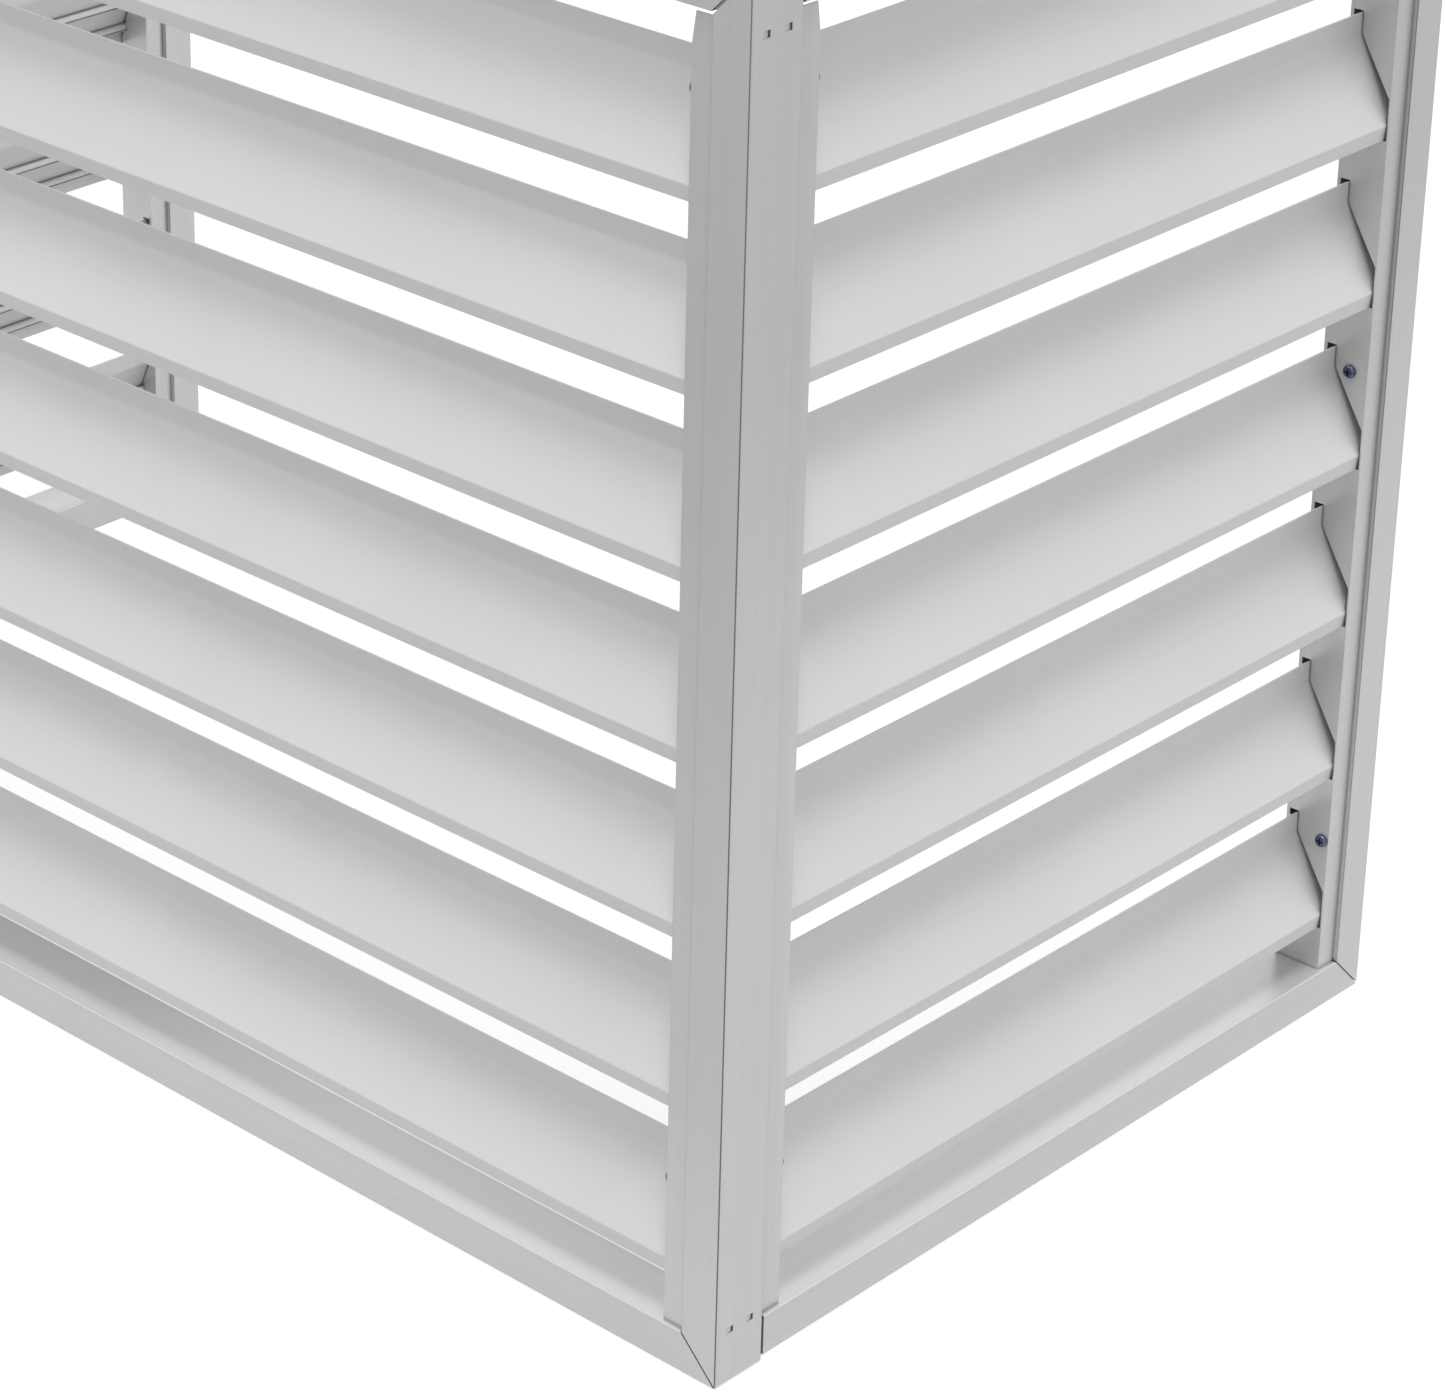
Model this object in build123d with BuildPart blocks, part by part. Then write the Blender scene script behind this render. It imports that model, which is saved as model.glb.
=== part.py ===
from build123d import *
import math
import os

# Louvred screen for an outdoor air conditioner unit.
# Three panels of coated aluminium extrusion stand in a U, open at the back, the top and the floor.
# Each panel is a frame of hollow box section, with two slotted channels that carry seven fixed blades.
# X runs along the front, Y from the front to the back, Z up. The origin is on the floor, in the middle.

os.makedirs("parts", exist_ok=True)

# Whole screen
screen_height = 800
front_width = 1114
screen_depth = 605

# Frame section, and how the frames meet
frame_face = 25
frame_depth = 38
frame_wall = 1.4
frame_round = 0.8
foot_mitre_gap = 1.1
top_mitre_gap = 1.8
side_inset = 3
joint_gap = 4.9

# Crimped dents that lock the corner keys
crimp_from_end = 33
crimp_spacing = 16
crimp_length = 6
crimp_height = 4
crimp_dent = 0.9
crimp_slit = 0.8

# Corner keys
key_leg = 58
key_clearance = 0.2
key_rib = 4

# Channels that carry the blades
carrier_setback = 3.2
carrier_flange = 15.5
carrier_wall = 0.9
carrier_top_gap = 3
carrier_bevel = 2.4
carrier_bevel_height = 17

# Blades
blade_count = 7
lowest_blade_gap = 28.8
highest_blade_gap = 31
blade_setback = 4.6
blade_run = 21.8
blade_height = 72.2
blade_wall = 1.4
lip_height = 9
lip_lean = 1.3
lip_bend_radius = 2
rear_lip_height = 12.2
rear_knee_radius = 5
blade_in_carrier = 12

# Screw ports along the back of a blade
port_bore_radius = 1.9
port_wall = 1.1
port_slot = 1.15
lower_port_height = 14
upper_port_height = 36.5

# Slots of the carriers round the blade ends
slot_clearance = 0.4
slot_shoulder_height = 25
slot_above = 1.2
slot_relief_height = 4.5
slot_relief_width = 6.6

# Pan-head screws
screw_radius = 2
screw_head_radius = 4
screw_head_height = 2.6
screw_head_round = 1.5
screw_bite = 6
screw_point = 1.2
screw_clearance = 0.2
screw_depth_places = [8, 15.5, 8]
screw_under_blade_top = 12.5
recess_span = 4.6
recess_width = 1.1
recess_deep = 1.4

# Plugs that carry the side rails on the front frame
connector_reveal = 0.1
connector_round = 2
plug_length = 42
plug_clearance = 0.2
plug_bore_radius = 4.4
plug_floor = 2.2
plug_rib = 3
connector_screw_bite = 10

# Cuts run this far past the faces that they open
overrun = 5

# Worked out from the sizes above
half_front = front_width / 2
side_start = frame_depth + joint_gap
side_length = screen_depth - side_start
carrier_width = frame_depth - 2 * carrier_setback
carrier_top = screen_height - frame_face - carrier_top_gap
lowest_blade = frame_face + lowest_blade_gap
highest_blade = screen_height - frame_face - highest_blade_gap - blade_height
blade_pitch = (highest_blade - lowest_blade) / (blade_count - 1)
blade_bottoms = [lowest_blade + blade_pitch * i for i in range(blade_count)]
blades_between_screws = (blade_count - 1) // (len(screw_depth_places) - 1)
screw_blades = blade_bottoms[::blades_between_screws]
screw_heights = [bottom + blade_height - screw_under_blade_top for bottom in screw_blades]
screw_places = list(zip(screw_depth_places, screw_heights))
rear_knee = blade_height - rear_lip_height
screw_hole_radius = screw_radius + screw_clearance
connector_middle = side_inset + frame_depth / 2

# Each panel has its own frame: x along the panel, y from its outer face inwards, z up
front_panel = Plane(origin=(0, -screen_depth / 2, 0), x_dir=(1, 0, 0), z_dir=(0, 0, 1))
side_origin = (half_front - side_inset, side_start - screen_depth / 2, 0)
side_panel = Plane(origin=side_origin, x_dir=(0, 1, 0), z_dir=(0, 0, 1))


def square_to(panel, along):
    """Plane across a panel's length: sketch x is the depth into the panel, sketch y the height."""
    origin = panel.from_local_coords((along, 0, 0))
    return Plane(origin=origin, x_dir=panel.y_dir, z_dir=panel.x_dir)


def face_on(panel, depth):
    """Plane seen from outside the panel: sketch x runs along it, sketch y up, its normal outwards."""
    origin = panel.from_local_coords((0, depth, 0))
    return Plane(origin=origin, x_dir=panel.x_dir, z_dir=panel.y_dir * -1)


def end_height(level):
    """Height of a panel's top, for a level of 1, or of its foot, for -1."""
    return screen_height if level > 0 else 0


def save(piece, name):
    """Label a finished piece and write it."""
    piece.part.label = name
    export_step(piece.part, f"parts/{name}.step")


def mirrored(piece):
    """The same piece on the left side of the screen."""
    with BuildPart() as twin:
        mirror(piece.part, about=Plane.YZ)
    return twin


# Frame members


def mitre_plane(panel, corner, side, level):
    """Plane of the mitre at a frame's outer corner, with its normal towards the rail."""
    towards_rail = panel.x_dir * -side + panel.z_dir * level
    origin = panel.from_local_coords((corner, 0, end_height(level)))
    return Plane(origin=origin, z_dir=towards_rail)


def half_mitre_gap(level):
    return (top_mitre_gap if level > 0 else foot_mitre_gap) / 2


def box_section(size_x, size_y):
    """Hollow section with rounded edges and its low corner at the sketch's place."""
    RectangleRounded(size_x, size_y, frame_round, align=(Align.MIN, Align.MIN))
    with Locations((frame_wall, frame_wall)):
        Rectangle(
            size_x - 2 * frame_wall,
            size_y - 2 * frame_wall,
            align=(Align.MIN, Align.MIN),
            mode=Mode.SUBTRACT,
        )


def cut_crimps(section):
    """Two dents side by side in a member's outer face, each a ramp that ends in a slit.

    The section plane lies across the member, with x into the panel and y out of the face.
    """
    with BuildSketch(section) as dents:
        with Locations((-crimp_spacing / 2, 0), (crimp_spacing / 2, 0)):
            ramp_end = crimp_length / 2
            Polygon((-ramp_end, 0), (ramp_end, 0), (ramp_end, -crimp_dent), align=None)
            with Locations((ramp_end, 0)):
                Rectangle(crimp_slit, 2 * frame_wall, align=(Align.MAX, Align.CENTER))
    extrude(dents.sketch, amount=crimp_height / 2, both=True, mode=Mode.SUBTRACT)


def make_rail(panel, start, end, level, mitred_sides):
    """Top or bottom rail between two places along a panel, mitred at the given ends."""
    outer = end_height(level)
    with BuildPart() as rail:
        with BuildSketch(square_to(panel, start)):
            with Locations((0, min(outer, outer - level * frame_face))):
                box_section(frame_depth, frame_face)
        extrude(amount=end - start)
        for side in mitred_sides:
            corner = end if side > 0 else start
            cut = mitre_plane(panel, corner, side, level).offset(half_mitre_gap(level))
            split(bisect_by=cut, keep=Keep.TOP)
            crimp = (corner - side * crimp_from_end, frame_depth / 2, outer)
            middle = panel.from_local_coords(crimp)
            cut_crimps(Plane(origin=middle, x_dir=panel.y_dir, z_dir=panel.x_dir * level))
    return rail


def make_post(panel, corner, side):
    """Upright at one end of a panel, mitred at both ends, drilled for its carrier's screws."""
    inner = corner - side * frame_face
    with BuildPart() as post:
        with BuildSketch(panel):
            with Locations((min(corner, inner), 0)):
                box_section(frame_face, frame_depth)
        extrude(amount=screen_height)
        for level in (-1, 1):
            cut = mitre_plane(panel, corner, side, level).offset(-half_mitre_gap(level))
            split(bisect_by=cut, keep=Keep.BOTTOM)
            crimp = (corner, frame_depth / 2, end_height(level) - level * crimp_from_end)
            middle = panel.from_local_coords(crimp)
            cut_crimps(Plane(origin=middle, x_dir=panel.y_dir, z_dir=panel.z_dir * -side))
        with BuildSketch(square_to(panel, inner)):
            with Locations(*screw_places):
                Circle(screw_hole_radius)
        extrude(amount=frame_wall + overrun, both=True, mode=Mode.SUBTRACT)
    return post


def drilled(piece, places, depth):
    """A piece of the front frame with screw holes from the frame's back to a depth."""
    with BuildPart() as result:
        add(piece.part)
        with BuildSketch(face_on(front_panel, frame_depth)):
            with Locations(*places):
                Circle(screw_hole_radius)
        extrude(amount=depth, mode=Mode.SUBTRACT)
    return result


def connector_hole(side, level):
    """Place of the hole for a connector's screw, seen on the front frame's face."""
    return (side * (half_front - connector_middle), end_height(level) - level * frame_face / 2)


# Corner keys


def make_key(panel, corner, side, level):
    """L-shaped key inside a mitred corner, with a window between the ribs of each leg."""
    fit = frame_wall + key_clearance
    inner = frame_face - fit
    outline = [(fit, fit), (key_leg, fit), (key_leg, inner), (inner, inner), (inner, key_leg), (fit, key_leg)]
    window_height = inner - fit - 2 * key_rib
    window_length = key_leg - frame_face - 2 * key_rib
    across = frame_face / 2
    along = frame_face + key_rib + window_length / 2
    with BuildPart() as key:
        with BuildSketch(face_on(panel, fit)):
            with Locations((corner, end_height(level))):
                Polygon(*[(-side * x, -level * z) for x, z in outline], align=None)
                with Locations((-side * along, -level * across)):
                    Rectangle(window_length, window_height, mode=Mode.SUBTRACT)
                with Locations((-side * across, -level * along)):
                    Rectangle(window_height, window_length, mode=Mode.SUBTRACT)
        extrude(amount=-(frame_depth - 2 * fit))
    return key


# Blades

slope_lean = math.atan2(blade_run, rear_knee - lip_height)
port_reach = blade_wall + port_bore_radius


def port_behind_slope(height):
    """Middle of a screw port whose root is at a height of the slope's face, turned square to it."""
    root = blade_setback + (height - lip_height) * math.tan(slope_lean)
    middle = (root + port_reach * math.cos(slope_lean), height - port_reach * math.sin(slope_lean))
    return Location(middle, -math.degrees(slope_lean))


ports = [port_behind_slope(lower_port_height), port_behind_slope(upper_port_height)]

with BuildSketch() as blade_outline:
    with BuildLine():
        FilletPolyline(
            (blade_setback + lip_lean, 0),
            (blade_setback, lip_height),
            (blade_setback + blade_run, rear_knee),
            (blade_setback + blade_run, blade_height),
            radius=[lip_bend_radius, rear_knee_radius],
        )
        offset(amount=blade_wall, side=Side.RIGHT)
    make_face()
    with Locations(*ports):
        Circle(port_bore_radius + port_wall)

with BuildSketch() as blade_section:
    add(blade_outline.sketch)
    with Locations(*ports):
        Circle(port_bore_radius, mode=Mode.SUBTRACT)
        Rectangle(
            port_bore_radius + port_wall + overrun,
            port_slot,
            align=(Align.MIN, Align.CENTER),
            mode=Mode.SUBTRACT,
        )

# A slot is wider than its blade in front: its edge runs down to a shoulder inside the carrier's outer flange
slot_front = carrier_setback + carrier_wall
slot_rear = blade_setback + blade_run - slot_clearance

with BuildSketch() as slot_section:
    add(blade_outline.sketch)
    offset(amount=slot_clearance)
    Polygon(
        (slot_front, -slot_clearance),
        (slot_front, slot_shoulder_height),
        (slot_rear, rear_knee),
        (blade_setback + lip_lean, -slot_clearance),
        align=None,
    )
    with Locations((slot_rear, blade_height + slot_above)):
        Rectangle(slot_relief_width, slot_relief_height, align=(Align.MIN, Align.MAX))


def make_blade(panel, start, end, bottom):
    """Louvre blade between two places along a panel, with its foot at the given height."""
    with BuildPart() as blade:
        with BuildSketch(square_to(panel, start)):
            with Locations((0, bottom)):
                add(blade_section.sketch)
        extrude(amount=end - start)
    return blade


# Carriers


def make_carrier(panel, web, post_face):
    """U-channel beside a post, with its web at one place and its flanges against the post's face."""
    side = 1 if post_face > web else -1
    flange = abs(post_face - web)
    from_web = Align.MIN if side > 0 else Align.MAX
    with BuildPart() as carrier:
        with BuildSketch(panel.offset(frame_face)):
            with Locations((web, carrier_setback)):
                Rectangle(flange, carrier_width, align=(from_web, Align.MIN))
            with Locations((web + side * carrier_wall, carrier_setback + carrier_wall)):
                hollow_width = carrier_width - 2 * carrier_wall
                Rectangle(flange, hollow_width, align=(from_web, Align.MIN), mode=Mode.SUBTRACT)
        extrude(amount=carrier_top - frame_face)
        with BuildSketch(square_to(panel, web - side * overrun)):
            with Locations(*[(0, bottom) for bottom in blade_bottoms]):
                add(slot_section.sketch)
        extrude(amount=side * (overrun + carrier_wall), mode=Mode.SUBTRACT)
        with BuildSketch(square_to(panel, web)):
            with Locations(*screw_places):
                Circle(screw_hole_radius)
        extrude(amount=carrier_wall + overrun, both=True, mode=Mode.SUBTRACT)
        with BuildSketch(face_on(panel, 0)):
            with Locations((web, carrier_top)):
                Polygon((0, 0), (side * carrier_bevel, 0), (0, -carrier_bevel_height), align=None)
        extrude(amount=-frame_depth, mode=Mode.SUBTRACT)
    return carrier


# Screws


def make_screws(seats, length):
    """Pan-head screws with a cross recess, each with its head on a seat plane's outer side."""
    outwards = Axis(seats[0].origin, seats[0].z_dir)
    with BuildPart() as screws:
        with BuildSketch(*seats):
            Circle(screw_head_radius)
        extrude(amount=screw_head_height)
        fillet(screws.edges().group_by(outwards)[-1], screw_head_round)
        with BuildSketch(*seats):
            Circle(screw_radius)
        extrude(amount=-length)
        chamfer(screws.edges().group_by(outwards)[0], screw_point)
        with BuildSketch(*[seat.offset(screw_head_height) for seat in seats]):
            Rectangle(recess_span, recess_width)
            Rectangle(recess_width, recess_span)
        extrude(amount=-recess_deep, mode=Mode.SUBTRACT)
    return screws


def make_carrier_screws(panel, web, post_face):
    """Screws through a carrier's web, across its hollow and into the post."""
    towards_blades = panel.x_dir * (1 if web > post_face else -1)
    seats = [
        Plane(origin=panel.from_local_coords((web, depth, height)), z_dir=towards_blades)
        for depth, height in screw_places
    ]
    return make_screws(seats, abs(post_face - web) + frame_wall + screw_bite)


# Connectors


def make_connector(level):
    """Plate between the front frame and a side rail, with a ribbed plug that fills the rail's end."""
    middle = (frame_depth / 2, end_height(level) - level * frame_face / 2)
    plug_depth = frame_depth - 2 * (frame_wall + plug_clearance)
    plug_height = frame_face - 2 * (frame_wall + plug_clearance)
    pocket_start = plug_bore_radius + plug_rib
    pocket_width = plug_depth / 2 - plug_rib - pocket_start
    with BuildPart() as connector:
        with BuildSketch(square_to(side_panel, -joint_gap)):
            with Locations(middle):
                plate_depth = frame_depth - 2 * connector_reveal
                plate_height = frame_face - 2 * connector_reveal
                RectangleRounded(plate_depth, plate_height, connector_round)
        extrude(amount=joint_gap)
        with BuildSketch(square_to(side_panel, 0)):
            with Locations(middle):
                Rectangle(plug_depth, plug_height)
        extrude(amount=plug_length)
        with BuildSketch(square_to(side_panel, plug_length)):
            with Locations(middle):
                with Locations((pocket_start, 0)):
                    Rectangle(pocket_width, plug_height - 2 * plug_rib, align=(Align.MIN, Align.CENTER))
                with Locations((-pocket_start, 0)):
                    Rectangle(pocket_width, plug_height - 2 * plug_rib, align=(Align.MAX, Align.CENTER))
        extrude(amount=plug_rib - plug_length, mode=Mode.SUBTRACT)
        with BuildSketch(square_to(side_panel, plug_floor - joint_gap)):
            with Locations(middle):
                Circle(plug_bore_radius)
        extrude(amount=joint_gap + plug_length, mode=Mode.SUBTRACT)
        with BuildSketch(square_to(side_panel, -joint_gap)):
            with Locations(middle):
                Circle(screw_hole_radius)
        extrude(amount=joint_gap, mode=Mode.SUBTRACT)
    return connector


def connector_seat(level):
    """Where a connector's screw seats: the floor of the plug's bore."""
    height = end_height(level) - level * frame_face / 2
    origin = side_panel.from_local_coords((plug_floor - joint_gap, frame_depth / 2, height))
    return Plane(origin=origin, z_dir=side_panel.x_dir)


# The front frame, its keys, its carriers and their screws
connector_hole_depth = frame_wall + connector_screw_bite + screw_point
level_names = {1: "top", -1: "bottom"}
side_names = {1: "right", -1: "left"}
front_post_face = half_front - frame_face
front_web = front_post_face - carrier_flange

for level, level_name in level_names.items():
    rail = make_rail(front_panel, -half_front, half_front, level, (-1, 1))
    holes = [connector_hole(side, level) for side in side_names]
    save(drilled(rail, holes, connector_hole_depth), f"front_{level_name}_rail")
    for side, side_name in side_names.items():
        key = make_key(front_panel, side * half_front, side, level)
        key = drilled(key, [connector_hole(side, level)], connector_hole_depth)
        save(key, f"front_{level_name}_{side_name}_key")

for side, side_name in side_names.items():
    post = make_post(front_panel, side * half_front, side)
    holes = [(side * (half_front - side_inset - depth), height) for depth, height in screw_places]
    save(drilled(post, holes, frame_wall + overrun), f"front_{side_name}_post")
    ends = (side * front_web, side * front_post_face)
    save(make_carrier(front_panel, *ends), f"front_{side_name}_carrier")
    save(make_carrier_screws(front_panel, *ends), f"front_{side_name}_carrier_screws")

# The right side frame, and its mirror image on the left
side_post_face = side_length - frame_face
near_web = carrier_flange
rear_web = side_post_face - carrier_flange
side_pieces = {
    "rear_post": make_post(side_panel, side_length, 1),
    "front_carrier": make_carrier(side_panel, near_web, -joint_gap),
    "rear_carrier": make_carrier(side_panel, rear_web, side_post_face),
    "front_carrier_screws": make_carrier_screws(side_panel, near_web, -joint_gap),
    "rear_carrier_screws": make_carrier_screws(side_panel, rear_web, side_post_face),
}
for level, level_name in level_names.items():
    side_pieces[f"{level_name}_rail"] = make_rail(side_panel, 0, side_length, level, (1,))
    side_pieces[f"{level_name}_key"] = make_key(side_panel, side_length, 1, level)
    side_pieces[f"{level_name}_connector"] = make_connector(level)

# Blades, numbered from the bottom
for number, bottom in enumerate(blade_bottoms, start=1):
    front_end = front_web + blade_in_carrier
    save(make_blade(front_panel, -front_end, front_end, bottom), f"front_blade_{number}")
    ends = (near_web - blade_in_carrier, rear_web + blade_in_carrier)
    side_pieces[f"blade_{number}"] = make_blade(side_panel, *ends, bottom)

for name, piece in side_pieces.items():
    save(piece, f"right_{name}")
    save(mirrored(piece), f"left_{name}")

# The connectors' screws, one inside each plug
connector_screw_length = plug_floor + frame_wall + connector_screw_bite
right_screws = make_screws([connector_seat(-1), connector_seat(1)], connector_screw_length)
with BuildPart() as connector_screws:
    add(right_screws.part)
    mirror(right_screws.part, about=Plane.YZ)
save(connector_screws, "connector_screws")
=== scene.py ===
# %% [markdown]
# An air conditioner screen: three louvred panels of coated aluminium in a U around an outdoor unit.
# Its pieces come from the CAD model at their real size, so this lesson is about finish, light and camera.
# Everything is in metres. X runs along the front, Y from front to back, Z up, with the origin on the floor.

# %% Load the model
import math

import bpy
from mathutils import Matrix, Vector


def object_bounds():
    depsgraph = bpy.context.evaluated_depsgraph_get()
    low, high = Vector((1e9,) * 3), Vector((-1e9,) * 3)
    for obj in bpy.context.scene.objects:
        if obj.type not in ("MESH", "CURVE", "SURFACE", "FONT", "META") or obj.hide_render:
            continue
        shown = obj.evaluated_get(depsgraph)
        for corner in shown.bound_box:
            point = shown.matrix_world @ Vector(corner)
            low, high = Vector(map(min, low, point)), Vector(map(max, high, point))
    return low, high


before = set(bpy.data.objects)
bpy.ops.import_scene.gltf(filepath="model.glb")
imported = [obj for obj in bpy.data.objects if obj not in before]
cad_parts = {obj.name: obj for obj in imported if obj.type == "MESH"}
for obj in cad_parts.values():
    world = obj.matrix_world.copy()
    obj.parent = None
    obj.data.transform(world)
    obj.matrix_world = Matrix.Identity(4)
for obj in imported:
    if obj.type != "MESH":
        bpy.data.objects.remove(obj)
cad_low, cad_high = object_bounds()

# %% [markdown]
# The camera stands in front of the screen's right corner and looks down on it.
# Its place, turn and lens come from the straight edges of the screen in the photograph, which fix all of
# them together once the real size is known. The lens is long, so the edges stay almost parallel.
# The photograph is a part cut from a wider picture, so its vanishing lines meet off its middle.
# The lens shift puts that point back where it belongs, which turning the camera alone can't do.
# The camera is placed by its three axes rather than by a tracking constraint, because the picture is rolled
# by half a degree, and a matrix says that plainly.

# %% Directions


def direction(turn, height):
    """Where something stands: its turn from straight in front to the right, and its height, in degrees."""
    turn, height = math.radians(turn), math.radians(height)
    return Vector((
        math.sin(turn) * math.cos(height),
        -math.cos(turn) * math.cos(height),
        math.sin(height),
    ))


print("straight in front:", direction(0, 0))

# %% Camera
camera_place = Vector((1.9476, -1.9049, 1.4876))
camera_turn = 43.621
camera_drop = 23.184
camera_roll = 0.51
quarter_turn = 90

lens = bpy.data.cameras.new("camera")
lens.sensor_width = 36
lens.lens = 117.03
lens.shift_x = 0.1263
lens.shift_y = -0.2055

backwards = direction(camera_turn, camera_drop)
level_right = direction(camera_turn + quarter_turn, 0)
rightwards = Matrix.Rotation(math.radians(camera_roll), 3, backwards) @ level_right
upwards = backwards.cross(rightwards)
axes = Matrix((rightwards, upwards, backwards)).transposed()

camera = bpy.data.objects.new("camera", lens)
camera.matrix_world = Matrix.Translation(camera_place) @ axes.to_4x4()
bpy.context.scene.collection.objects.link(camera)
bpy.context.scene.camera = camera
middle = (Vector(cad_low) + Vector(cad_high)) / 2
print("camera", round((camera_place - middle).length, 2), "m from the middle of the screen")

# %% [markdown]
# The picture's background is plain white. The world shows white to the camera and in reflections,
# but lights the object with a softer grey, so that the white around it doesn't wash its colour out.
# One sky for both would be simpler, but then every pale face would clip.
# A world is a tree of nodes, as every finish below is. The first helper empties such a tree and adds nodes
# to it, and the others choose between two shaders by the kind of ray, which the floor will need too.

# %% Two shaders in one, chosen by the kind of ray
direct_rays = ("Is Camera Ray", "Is Glossy Ray", "Is Transmission Ray")


def new_nodes(tree):
    """Empty a node tree, and give short ways to add nodes to it and to link them."""
    tree.nodes.clear()

    def add(kind, **settings):
        node = tree.nodes.new(kind)
        for name, value in settings.items():
            setattr(node, name, value)
        return node

    return add, tree.links.new


def seen_directly(add, link):
    """1 for what the camera sees, straight or by a mirror or glass, and 0 for light that spreads."""
    path = add("ShaderNodeLightPath")
    total, *others = [path.outputs[ray] for ray in direct_rays]
    for other in others:
        both = add("ShaderNodeMath", operation="MAXIMUM")
        link(total, both.inputs[0])
        link(other, both.inputs[1])
        total = both.outputs[0]
    return total


def by_kind_of_ray(add, link, spreading, seen):
    """The first shader for light that spreads, the second for what is seen."""
    choice = add("ShaderNodeMixShader")
    link(seen_directly(add, link), choice.inputs["Fac"])
    link(spreading, choice.inputs[1])
    link(seen, choice.inputs[2])
    return choice.outputs[0]


print("seen directly:", ", ".join(direct_rays))

# %% World
ambient_light = 0.66
shown_light = 1.0
scene = bpy.context.scene
scene.view_settings.view_transform = "Standard"
world = bpy.data.worlds.new("white_studio")
scene.world = world
world.use_nodes = True
add, link = new_nodes(world.node_tree)


def grey(tone):
    """A grey as a colour with full cover."""
    return (tone, tone, tone, 1)


def white_sky(strength):
    """A white sky of one strength."""
    sky = add("ShaderNodeBackground")
    sky.inputs["Color"].default_value = grey(1)
    sky.inputs["Strength"].default_value = strength
    return sky.outputs[0]


sky = by_kind_of_ray(add, link, white_sky(ambient_light), white_sky(shown_light))
link(sky, add("ShaderNodeOutputWorld").inputs["Surface"])
print("world light", ambient_light, "and seen as", shown_light)

# %% [markdown]
# The screen stands on a white floor. A floor that only scatters light would come out grey under this light,
# so to the camera it also glows a little: where no shadow falls it reaches white, and the shadow stays.
# It lies half a millimetre under the screen's feet, because two faces in one plane come out speckled.

# %% Floor
floor_half = 9
floor_drop = 0.0005
floor_glow = 0.74
floor_tone = 0.26
floor_bounce = 0.42


def new_paint(name):
    """A new finish, with short ways to add nodes to it and to link them."""
    paint = bpy.data.materials.new(name)
    paint.use_nodes = True
    return paint, *new_nodes(paint.node_tree)


bpy.ops.mesh.primitive_plane_add(size=2 * floor_half, location=(0, 0, -floor_drop))
floor = bpy.context.object
floor.name = "floor"
floor_paint, add, link = new_paint("white_floor")
plain = add("ShaderNodeBsdfDiffuse")
plain.inputs["Color"].default_value = grey(floor_bounce)
muted = add("ShaderNodeBsdfDiffuse")
muted.inputs["Color"].default_value = grey(floor_tone)
glow = add("ShaderNodeEmission")
glow.inputs["Strength"].default_value = floor_glow
lit = add("ShaderNodeAddShader")
link(muted.outputs[0], lit.inputs[0])
link(glow.outputs[0], lit.inputs[1])
surface = by_kind_of_ray(add, link, plain.outputs[0], lit.outputs[0])
link(surface, add("ShaderNodeOutputMaterial").inputs["Surface"])
floor.data.materials.append(floor_paint)
print("floor", 2 * floor_half, "m square")

# %% [markdown]
# A few soft lamps give the light its direction. Each is a sun lamp with a wide angle, because its light
# is the same over the whole screen, near and far, where an area lamp would fall off along the blades.
# Each line gives a lamp's turn and height, counted as for the camera, then the angle that it fills in the
# sky, and its strength. The wider that angle is, the softer are the lamp's shadows.

# %% Lamps
lamps = {
    "key": (45, 76, 20, 1.59),
    "top": (0, 90, 45, 0.33),
    "left": (315, 50, 45, 0.34),
    "right": (135, 50, 45, 0.19),
    "back": (180, 50, 45, 0.25),
}
for name, (turn, height, width, strength) in lamps.items():
    light = bpy.data.lights.new(name, "SUN")
    light.energy = strength
    light.angle = math.radians(width)
    lamp = bpy.data.objects.new(name, light)
    lamp.rotation_euler = direction(turn, height).to_track_quat("Z", "Y").to_euler()
    scene.collection.objects.link(lamp)
print(len(lamps), "lamps")

# %% [markdown]
# In the photograph the posts grow darker upwards, and their rounded corner shows as a thin dark line:
# the coat is glossy enough to mirror the floor, which is white near the screen and darker further off.
# A photographer would lay cloths there. Here they lie on the floor in three steps in front of the screen
# and beside it, with black in front of the corner. Only reflections see them, so they darken no shadow
# and no part of the floor that the camera sees.

# %% Where the cloths lie, and how bright each is
reach = 3.2
steps = (0.0, 0.15, 0.65, reach)
front_tones = (1.0, 0.79, 0.52)
side_tones = (1.0, 0.99, 0.71)
front_edge = cad_low[1]
side_edge = cad_high[0]
cloths = {"corner": (side_edge, reach, -reach, front_edge, 0.0)}
for number, (near, far) in enumerate(zip(steps, steps[1:])):
    front_tone = front_tones[number]
    side_tone = side_tones[number]
    cloths[f"front_{number}"] = (-reach, side_edge, front_edge - far, front_edge - near, front_tone)
    cloths[f"side_{number}"] = (side_edge + near, side_edge + far, front_edge, reach, side_tone)
print(len(cloths), "cloths planned:", ", ".join(cloths))

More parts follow.
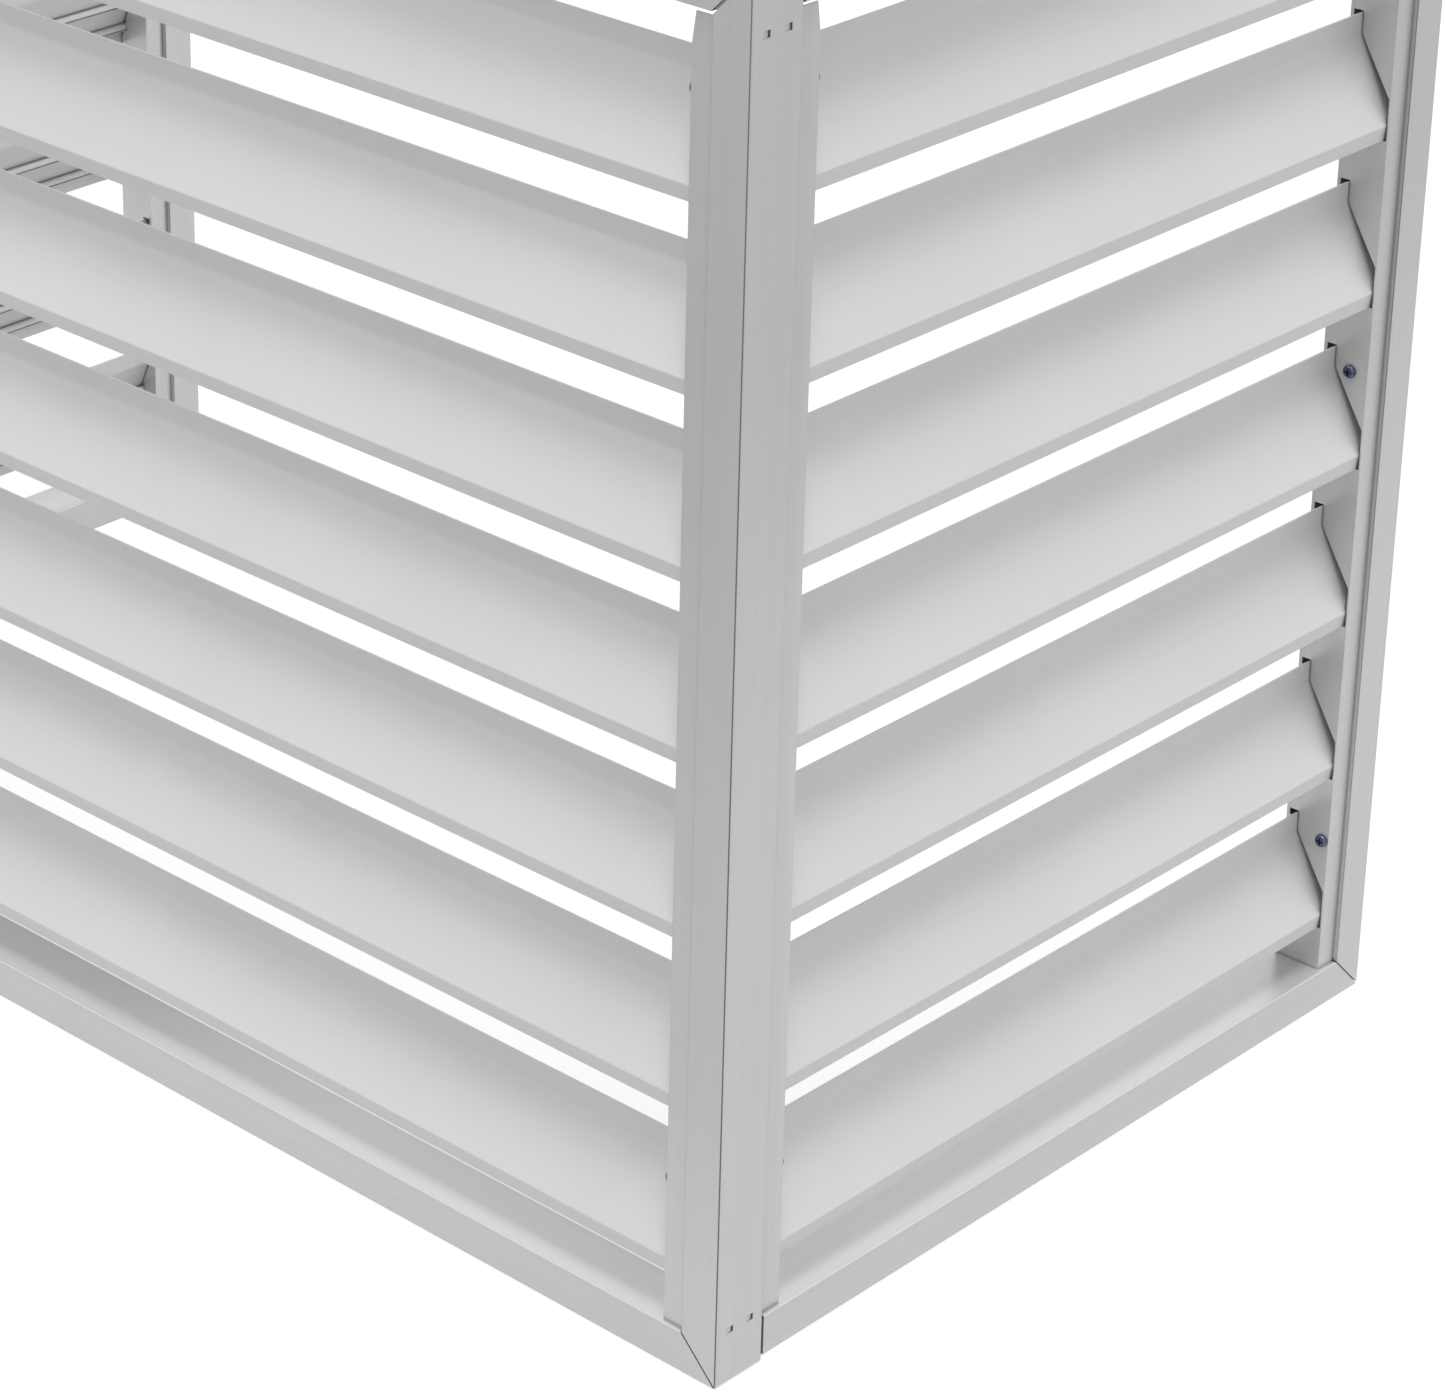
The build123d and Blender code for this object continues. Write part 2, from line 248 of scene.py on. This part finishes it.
# %% Cloths that only reflections see
cloth_height = 0.001
for name, (low_x, high_x, low_y, high_y, tone) in cloths.items():
    corners = [(low_x, low_y), (high_x, low_y), (high_x, high_y), (low_x, high_y)]
    mesh = bpy.data.meshes.new(name)
    mesh.from_pydata([(x, y, cloth_height) for x, y in corners], [], [(0, 1, 2, 3)])
    cloth = bpy.data.objects.new(name, mesh)
    scene.collection.objects.link(cloth)
    paint, add, link = new_paint(name)
    glow = add("ShaderNodeEmission")
    glow.inputs["Color"].default_value = grey(tone)
    link(glow.outputs[0], add("ShaderNodeOutputMaterial").inputs["Surface"])
    mesh.materials.append(paint)
    cloth.visible_camera = False
    cloth.visible_diffuse = False
    cloth.visible_shadow = False
    cloth.visible_transmission = False
print(len(cloths), "cloths laid at a height of", cloth_height, "m")

# %% [markdown]
# The aluminium is extruded, then coated in a pale satin grey. Up close the coat shows fine lines from the
# die along each length, a faint orange peel some 2 mm across, a few dark specks, and slow changes of tone
# and gloss. They could be painted on an image, but then each piece would have to be unwrapped for it.
# Noise in the object's own metres needs no unwrapping. It is stretched along the length in which the piece
# was pressed, so one recipe with a direction serves posts, rails and blades.
# Each mark is one line below: its waves in a metre, its octaves of finer waves, and the share of the waves
# that is left along the length, where 1 leaves all of them and 0.004 draws them out 250 times.

# %% Marks of the coat
marks = {
    "clouds": (9, 3, 1.0),
    "colour_lines": (190, 3, 0.004),
    "specks": (900, 2, 1.0),
    "gloss": (60, 4, 0.05),
    "peel": (450, 1, 1.0),
    "die_lines": (130, 0, 0.003),
}


def coat_noise(add, link, mark, along):
    """Noise of one of the marks, stretched along an axis."""
    waves, octaves, share_along = marks[mark]
    mapping = add("ShaderNodeMapping")
    mapping.inputs["Scale"].default_value = [share_along if axis == along else 1.0 for axis in "XYZ"]
    link(add("ShaderNodeTexCoord").outputs["Object"], mapping.inputs["Vector"])
    texture = add("ShaderNodeTexNoise")
    texture.inputs["Scale"].default_value = waves
    texture.inputs["Detail"].default_value = octaves
    link(mapping.outputs[0], texture.inputs["Vector"])
    return texture.outputs["Fac"]


print(len(marks), "marks:", ", ".join(marks))

# %% [markdown]
# Noise gives a number at each place, and most of the numbers lie in the middle of its range.
# Small helpers turn them into a shade: one maps a range of numbers to another, and one multiplies.
# A colour ramp could do the first by eye, but a range can be read off and changed as two numbers.

# %% From noise to shade
noise_range = (0.3, 0.7)


def spread(add, link, value, old_range, new_range):
    """Map one range of a value to another, and stop at its ends."""
    remap = add("ShaderNodeMapRange")
    sockets = ("From Min", "From Max", "To Min", "To Max")
    for socket, number in zip(sockets, (*old_range, *new_range)):
        remap.inputs[socket].default_value = number
    link(value, remap.inputs["Value"])
    return remap.outputs[0]


def times(add, link, first, second):
    """The product of two values."""
    product = add("ShaderNodeMath", operation="MULTIPLY")
    link(first, product.inputs[0])
    link(second, product.inputs[1])
    return product.outputs[0]


def either_side(value, step):
    """The range that reaches one step to both sides of a value."""
    return (value - step, value + step)


print("most of a noise lies in", noise_range)

# %% [markdown]
# Two more marks paint shade on the joints. Painted shade lies where two pieces meet, within 3 mm of the
# corner
# between them: the ambient occlusion node finds such places by itself, where painting them by hand would
# take a mask for each piece. And the rounded corners of the posts, which run along Z, are painted darker
# than their faces, a painted shade over the dark line that the round mirrors. The surface's own normal
# finds them: on a flat face it points along one axis, and on the round between two faces along both.

# %% Painted shade in the joints and on rounded corners
# Painted shade: the coat's colour darkens in corners between pieces, where shade falls.
painted_shade_reach = 0.003
painted_shade_rays = 8
painted_shade_range = (0.4, 0.85)
painted_shade_strength = 0.45
painted_round_range = (0.1, 0.4)
# Painted shade on the posts' rounded corners, over the dark line that they mirror.
painted_round_shade = {"X": 0.0, "Y": 0.0, "Z": 0.5}


def painted_joint_shade(add, link, along):
    """Painted shade: 1 on open faces, and less in corners between pieces and on a post's rounded corners.
    """
    # Painted shade from ambient occlusion, then painted darkening of the rounded corners.
    corners = add("ShaderNodeAmbientOcclusion", samples=painted_shade_rays)
    corners.inputs["Distance"].default_value = painted_shade_reach
    painted_shade = spread(add, link, corners.outputs["AO"], painted_shade_range, (1 - painted_shade_strength, 1.0))
    facing = add("ShaderNodeSeparateXYZ")
    link(add("ShaderNodeTexCoord").outputs["Normal"], facing.inputs[0])
    both_ways = times(add, link, *[facing.outputs[axis] for axis in "XYZ" if axis != along])
    size = add("ShaderNodeMath", operation="ABSOLUTE")
    link(both_ways, size.inputs[0])
    painted_rounds = spread(add, link, size.outputs[0], painted_round_range, (1.0, 1 - painted_round_shade[along]))
    return times(add, link, painted_shade, painted_rounds)


print("grime darkens a corner by up to", painted_shade_strength, "of its tone")

# %% [markdown]
# The coat's colour is one tone times all of these shades, the painted shade of the joints among them. They
# stay
# close to even: from a step away the real coat looks plain, and stronger marks would read as bare, brushed
# metal.

# %% Colour of the coat
cloud_share = 0.015
speck_range = (0.73, 0.78)
speck_shade = 0.28


def coat_colour(add, link, noise, along, tone, line_share):
    """A tone with its marks and the painted shade of its joints and rounded corners."""
    clouds = spread(add, link, noise["clouds"], noise_range, either_side(1, cloud_share))
    lines = spread(add, link, noise["colour_lines"], noise_range, either_side(1, line_share))
    specks = spread(add, link, noise["specks"], speck_range, (1.0, 1 - speck_shade))
    shade = times(add, link, times(add, link, clouds, lines), specks)
    colour = add("ShaderNodeMix", data_type="RGBA", blend_type="MULTIPLY")
    colour.inputs["Factor"].default_value = 1
    colour.inputs["A"].default_value = (*tone, 1)
    # The painted shade of the joints darkens the colour here.
    link(times(add, link, shade, painted_joint_shade(add, link, along)), colour.inputs["B"])
    return colour.outputs["Result"]


print("clouds move the tone by", cloud_share, "and specks darken it by", speck_shade)

# %% [markdown]
# The coat's gloss changes slowly along each length, and two bumps move its surface by a tenth of a
# millimetre at most: the orange peel, and over it the lines from the die. Grooves cut into the mesh could
# do the same, but would take millions of faces to draw what hardly shows.
# To the shader the coat is part metal, more so on the frames than on the blades, because the posts mirror
# the floor more clearly.

# %% Coats of the blades and the frames
gloss_range = (0.2, 0.8)
gloss_step = 0.05
peel_strength = 0.25
die_line_strength = 0.15
bump_height = 0.0001


def bumps(add, link, height, strength, under=None):
    """A surface moved by a texture, over another one if there is one."""
    bump = add("ShaderNodeBump")
    bump.inputs["Strength"].default_value = strength
    bump.inputs["Distance"].default_value = bump_height
    link(height, bump.inputs["Height"])
    if under is not None:
        link(under, bump.inputs["Normal"])
    return bump.outputs[0]


def coated_aluminium(name, along, tone, roughness, metal, line_share):
    """Satin coat on extruded aluminium, with its lines along one axis."""
    paint, add, link = new_paint(name)
    noise = {mark: coat_noise(add, link, mark, along) for mark in marks}
    shader = add("ShaderNodeBsdfPrincipled")
    shader.inputs["Metallic"].default_value = metal
    link(coat_colour(add, link, noise, along, tone, line_share), shader.inputs["Base Color"])
    gloss = spread(add, link, noise["gloss"], gloss_range, either_side(roughness, gloss_step))
    link(gloss, shader.inputs["Roughness"])
    peel = bumps(add, link, noise["peel"], peel_strength)
    link(bumps(add, link, noise["die_lines"], die_line_strength, peel), shader.inputs["Normal"])
    link(shader.outputs[0], add("ShaderNodeOutputMaterial").inputs["Surface"])
    return paint


coat_finishes = {
    "blade": {"tone": (0.66, 0.66, 0.663), "roughness": 0.48, "metal": 0.25, "line_share": 0.006},
    "frame": {"tone": (0.594, 0.59, 0.598), "roughness": 0.33, "metal": 0.5, "line_share": 0.018},
}
coats = {}
for along in "XYZ":
    for kind, finish in coat_finishes.items():
        coats[kind, along] = coated_aluminium(f"{kind}_coat_{along.lower()}", along, **finish)
print(len(coats), "coats:", ", ".join(coat.name for coat in coats.values()))

# %% [markdown]
# Three small finishes are left. The screws are steel with a dark blue zinc plate, bright enough to mirror
# the light at their rims. The corner keys are bare alloy, sawn from an extrusion, and the plugs are black
# plastic. The keys and plugs hardly show, but they get a finish too, because the screen may be seen
# from any side. All three are even all over, so one short recipe does: fine noise moves the colour,
# the gloss and the surface together.

# %% Screws, keys and plugs
grain_octaves = 4
grain_share = 0.2
grain_strength = 0.3


def plain_finish(name, colour, metal, roughness, grain):
    """An even finish whose grain is the same in every direction."""
    paint, add, link = new_paint(name)
    texture = add("ShaderNodeTexNoise")
    texture.inputs["Scale"].default_value = grain
    texture.inputs["Detail"].default_value = grain_octaves
    link(add("ShaderNodeTexCoord").outputs["Object"], texture.inputs["Vector"])
    grains = texture.outputs["Fac"]
    shader = add("ShaderNodeBsdfPrincipled")
    shader.inputs["Metallic"].default_value = metal
    mixed = add("ShaderNodeMix", data_type="RGBA")
    mixed.inputs["A"].default_value = (*[value * (1 - grain_share) for value in colour], 1)
    mixed.inputs["B"].default_value = (*colour, 1)
    link(grains, mixed.inputs["Factor"])
    link(mixed.outputs["Result"], shader.inputs["Base Color"])
    gloss_ends = (roughness * (1 - grain_share), roughness * (1 + grain_share))
    link(spread(add, link, grains, (0, 1), gloss_ends), shader.inputs["Roughness"])
    link(bumps(add, link, grains, grain_strength), shader.inputs["Normal"])
    link(shader.outputs[0], add("ShaderNodeOutputMaterial").inputs["Surface"])
    return paint


small_finishes = {
    "zinc_plate": {"colour": (0.13, 0.15, 0.24), "metal": 1, "roughness": 0.3, "grain": 900},
    "key_alloy": {"colour": (0.55, 0.55, 0.56), "metal": 1, "roughness": 0.5, "grain": 700},
    "black_plastic": {"colour": (0.02, 0.02, 0.022), "metal": 0, "roughness": 0.45, "grain": 1200},
}
small_paints = {name: plain_finish(name, **finish) for name, finish in small_finishes.items()}
print(len(small_paints), "small finishes:", ", ".join(small_paints))

# %% [markdown]
# Each piece gets its finish by its name. They could be dealt out one by one, but a rule also holds when a
# piece is added. A coat needs the way in which its piece was extruded as well: rails and blades run along
# their panel, and posts and carriers stand.

# %% Give every piece its finish


def finish_of(name):
    """The finish of a node, from what it is and the way it runs."""
    across = "X" if name.startswith("front") else "Y"
    if "screws" in name:
        return small_paints["zinc_plate"]
    if "key" in name:
        return small_paints["key_alloy"]
    if "connector" in name:
        return small_paints["black_plastic"]
    if "blade" in name:
        return coats["blade", across]
    return coats["frame", across if "rail" in name else "Z"]


for name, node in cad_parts.items():
    node.data.materials.clear()
    node.data.materials.append(finish_of(name))
print("finishes given to", len(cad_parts), "pieces")
